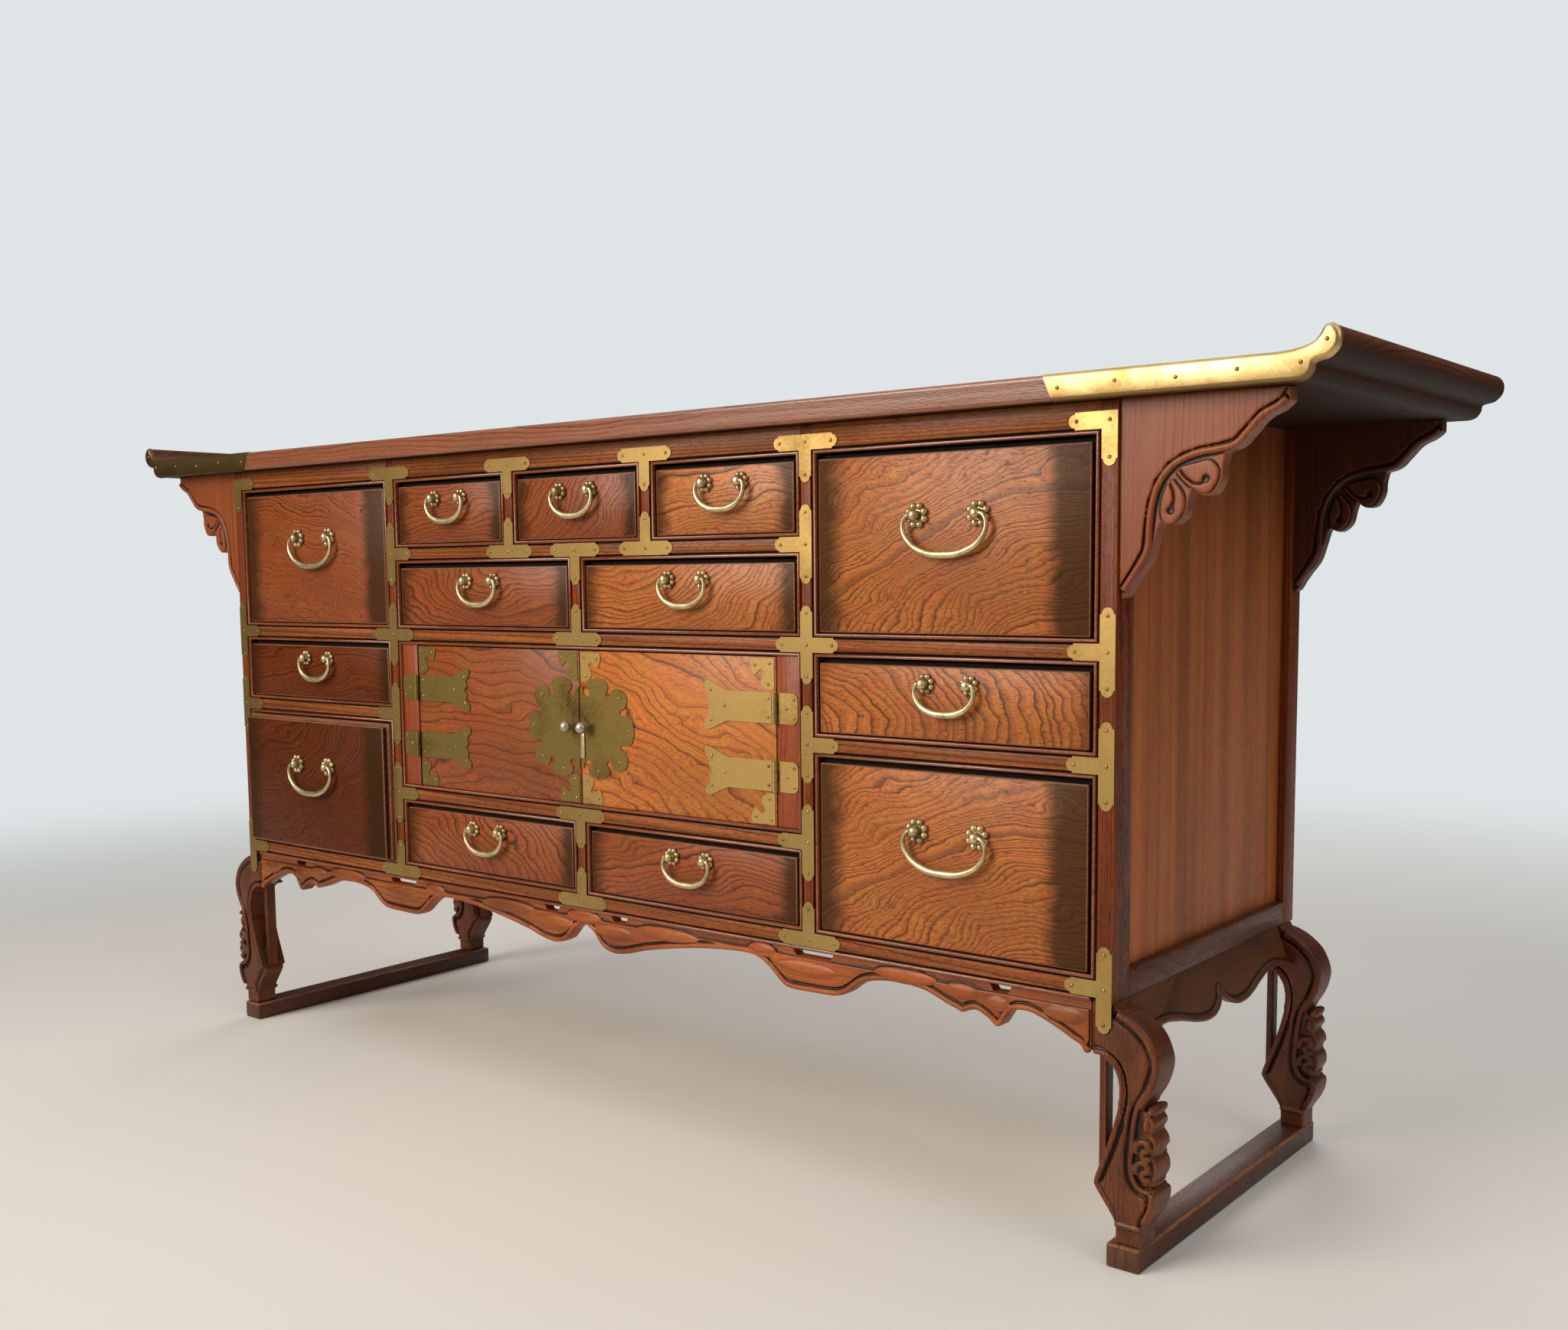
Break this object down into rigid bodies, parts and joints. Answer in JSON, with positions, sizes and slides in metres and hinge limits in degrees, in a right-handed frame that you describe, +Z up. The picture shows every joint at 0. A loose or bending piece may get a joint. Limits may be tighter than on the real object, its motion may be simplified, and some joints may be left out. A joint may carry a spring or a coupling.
{
  "type": "pagoda sideboard",
  "caption": "Long low sideboard with scroll-ended top, brass-bound drawers round a two-door cupboard, bail handles and cabriole legs standing on floor runners.",
  "frame": {"origin": "on the floor, under the middle of the whole piece's box", "axes": "+X to the viewer's right along the front, +Y from the front to the back, +Z up"},
  "size_m": [1.838, 0.504, 0.8685],
  "materials": {
    "figured_elm": "stained and lacquered figured elm",
    "red_brown_elm": "stained and lacquered elm",
    "dark_elm": "dark stained and lacquered elm",
    "side_elm": "stained elm, satin",
    "plain_wood": "unstained secondary wood",
    "aged_brass": "aged sheet brass",
    "antique_brass": "antique pale cast brass"
  },
  "bodies": {
    "case": {"front_frame": "red_brown_elm", "left_side": "side_elm", "right_side": "side_elm", "bottom_board": "plain_wood", "left_partition": "plain_wood", "right_partition": "plain_wood", "small_drawer_shelf": "plain_wood", "cupboard_ceiling": "plain_wood", "cupboard_floor": "plain_wood", "back_panel": "plain_wood", "top_board": "dark_elm", "front_apron": "red_brown_elm", "left_front_spandrel": "dark_elm", "left_rear_spandrel": "dark_elm", "left_front_leg": "dark_elm", "left_rear_leg": "dark_elm", "left_floor_runner": "dark_elm", "left_lower_jamb_leaf": "aged_brass", "left_upper_jamb_leaf": "aged_brass", "right_front_spandrel": "dark_elm", "right_rear_spandrel": "dark_elm", "right_front_leg": "dark_elm", "right_rear_leg": "dark_elm", "right_floor_runner": "dark_elm", "right_lower_jamb_leaf": "aged_brass", "right_upper_jamb_leaf": "aged_brass"},
    "left_top_drawer": {"left_top_drawer": "figured_elm"},
    "left_top_bail": {"left_top_bail": "antique_brass"},
    "left_middle_drawer": {"left_middle_drawer": "figured_elm"},
    "left_middle_bail": {"left_middle_bail": "antique_brass"},
    "left_bottom_drawer": {"left_bottom_drawer": "figured_elm"},
    "left_bottom_bail": {"left_bottom_bail": "antique_brass"},
    "right_top_drawer": {"right_top_drawer": "figured_elm"},
    "right_top_bail": {"right_top_bail": "antique_brass"},
    "right_middle_drawer": {"right_middle_drawer": "figured_elm"},
    "right_middle_bail": {"right_middle_bail": "antique_brass"},
    "right_bottom_drawer": {"right_bottom_drawer": "figured_elm"},
    "right_bottom_bail": {"right_bottom_bail": "antique_brass"},
    "centre_small_left_drawer": {"centre_small_left_drawer": "figured_elm"},
    "centre_small_left_bail": {"centre_small_left_bail": "antique_brass"},
    "centre_small_middle_drawer": {"centre_small_middle_drawer": "figured_elm"},
    "centre_small_middle_bail": {"centre_small_middle_bail": "antique_brass"},
    "centre_small_right_drawer": {"centre_small_right_drawer": "figured_elm"},
    "centre_small_right_bail": {"centre_small_right_bail": "antique_brass"},
    "centre_upper_left_drawer": {"centre_upper_left_drawer": "figured_elm"},
    "centre_upper_left_bail": {"centre_upper_left_bail": "antique_brass"},
    "centre_upper_right_drawer": {"centre_upper_right_drawer": "figured_elm"},
    "centre_upper_right_bail": {"centre_upper_right_bail": "antique_brass"},
    "centre_lower_left_drawer": {"centre_lower_left_drawer": "figured_elm"},
    "centre_lower_left_bail": {"centre_lower_left_bail": "antique_brass"},
    "centre_lower_right_drawer": {"centre_lower_right_drawer": "figured_elm"},
    "centre_lower_right_bail": {"centre_lower_right_bail": "antique_brass"},
    "left_door": {"left_door": "figured_elm", "left_lower_strap": "aged_brass", "left_upper_strap": "aged_brass", "left_lock_plate": "aged_brass"},
    "right_door": {"right_door": "figured_elm", "right_lower_strap": "aged_brass", "right_upper_strap": "aged_brass", "right_lock_plate": "aged_brass"}
  },
  "joints": [
    {"name": "left_top_drawer_slide", "type": "slide", "parent": "case", "child": "left_top_drawer", "axis": [0, -1, 0], "range_m": [0, 0.28]},
    {"name": "left_top_bail_swing", "type": "hinge", "parent": "left_top_drawer", "child": "left_top_bail", "pos_m": [-0.52575, -0.233, 0.725], "axis": [-1, 0, 0], "range_deg": [0, 90]},
    {"name": "left_middle_drawer_slide", "type": "slide", "parent": "case", "child": "left_middle_drawer", "axis": [0, -1, 0], "range_m": [0, 0.28]},
    {"name": "left_middle_bail_swing", "type": "hinge", "parent": "left_middle_drawer", "child": "left_middle_bail", "pos_m": [-0.52575, -0.233, 0.5555], "axis": [-1, 0, 0], "range_deg": [0, 90]},
    {"name": "left_bottom_drawer_slide", "type": "slide", "parent": "case", "child": "left_bottom_drawer", "axis": [0, -1, 0], "range_m": [-0.0145, 0.2655]},
    {"name": "left_bottom_bail_swing", "type": "hinge", "parent": "left_bottom_drawer", "child": "left_bottom_bail", "pos_m": [-0.52575, -0.2475, 0.404], "axis": [-1, 0, 0], "range_deg": [0, 90]},
    {"name": "right_top_drawer_slide", "type": "slide", "parent": "case", "child": "right_top_drawer", "axis": [0, -1, 0], "range_m": [0, 0.28]},
    {"name": "right_top_bail_swing", "type": "hinge", "parent": "right_top_drawer", "child": "right_top_bail", "pos_m": [0.52575, -0.233, 0.725], "axis": [-1, 0, 0], "range_deg": [0, 90]},
    {"name": "right_middle_drawer_slide", "type": "slide", "parent": "case", "child": "right_middle_drawer", "axis": [0, -1, 0], "range_m": [0, 0.28]},
    {"name": "right_middle_bail_swing", "type": "hinge", "parent": "right_middle_drawer", "child": "right_middle_bail", "pos_m": [0.52575, -0.233, 0.5555], "axis": [-1, 0, 0], "range_deg": [0, 90]},
    {"name": "right_bottom_drawer_slide", "type": "slide", "parent": "case", "child": "right_bottom_drawer", "axis": [0, -1, 0], "range_m": [0, 0.28]},
    {"name": "right_bottom_bail_swing", "type": "hinge", "parent": "right_bottom_drawer", "child": "right_bottom_bail", "pos_m": [0.52575, -0.233, 0.404], "axis": [-1, 0, 0], "range_deg": [0, 90]},
    {"name": "centre_small_left_drawer_slide", "type": "slide", "parent": "case", "child": "centre_small_left_drawer", "axis": [0, -1, 0], "range_m": [0, 0.28]},
    {"name": "centre_small_left_bail_swing", "type": "hinge", "parent": "centre_small_left_drawer", "child": "centre_small_left_bail", "pos_m": [-0.23333, -0.233, 0.7695], "axis": [-1, 0, 0], "range_deg": [0, 90]},
    {"name": "centre_small_middle_drawer_slide", "type": "slide", "parent": "case", "child": "centre_small_middle_drawer", "axis": [0, -1, 0], "range_m": [0, 0.28]},
    {"name": "centre_small_middle_bail_swing", "type": "hinge", "parent": "centre_small_middle_drawer", "child": "centre_small_middle_bail", "pos_m": [0, -0.233, 0.7695], "axis": [-1, 0, 0], "range_deg": [0, 90]},
    {"name": "centre_small_right_drawer_slide", "type": "slide", "parent": "case", "child": "centre_small_right_drawer", "axis": [0, -1, 0], "range_m": [0, 0.28]},
    {"name": "centre_small_right_bail_swing", "type": "hinge", "parent": "centre_small_right_drawer", "child": "centre_small_right_bail", "pos_m": [0.23333, -0.233, 0.7695], "axis": [-1, 0, 0], "range_deg": [0, 90]},
    {"name": "centre_upper_left_drawer_slide", "type": "slide", "parent": "case", "child": "centre_upper_left_drawer", "axis": [0, -1, 0], "range_m": [0, 0.28]},
    {"name": "centre_upper_left_bail_swing", "type": "hinge", "parent": "centre_upper_left_drawer", "child": "centre_upper_left_bail", "pos_m": [-0.175, -0.233, 0.6625], "axis": [-1, 0, 0], "range_deg": [0, 90]},
    {"name": "centre_upper_right_drawer_slide", "type": "slide", "parent": "case", "child": "centre_upper_right_drawer", "axis": [0, -1, 0], "range_m": [0, 0.28]},
    {"name": "centre_upper_right_bail_swing", "type": "hinge", "parent": "centre_upper_right_drawer", "child": "centre_upper_right_bail", "pos_m": [0.175, -0.233, 0.6625], "axis": [-1, 0, 0], "range_deg": [0, 90]},
    {"name": "centre_lower_left_drawer_slide", "type": "slide", "parent": "case", "child": "centre_lower_left_drawer", "axis": [0, -1, 0], "range_m": [0, 0.28]},
    {"name": "centre_lower_left_bail_swing", "type": "hinge", "parent": "centre_lower_left_drawer", "child": "centre_lower_left_bail", "pos_m": [-0.175, -0.233, 0.3415], "axis": [-1, 0, 0], "range_deg": [0, 90]},
    {"name": "centre_lower_right_drawer_slide", "type": "slide", "parent": "case", "child": "centre_lower_right_drawer", "axis": [0, -1, 0], "range_m": [0, 0.28]},
    {"name": "centre_lower_right_bail_swing", "type": "hinge", "parent": "centre_lower_right_drawer", "child": "centre_lower_right_bail", "pos_m": [0.175, -0.233, 0.3415], "axis": [-1, 0, 0], "range_deg": [0, 90]},
    {"name": "left_door_swing", "type": "hinge", "parent": "case", "child": "left_door", "pos_m": [-0.30525, -0.228, 0.3908], "axis": [0, 0, -1], "range_deg": [0, 95]},
    {"name": "right_door_swing", "type": "hinge", "parent": "case", "child": "right_door", "pos_m": [0.30525, -0.228, 0.3908], "axis": [0, 0, 1], "range_deg": [0, 95]}
  ]
}
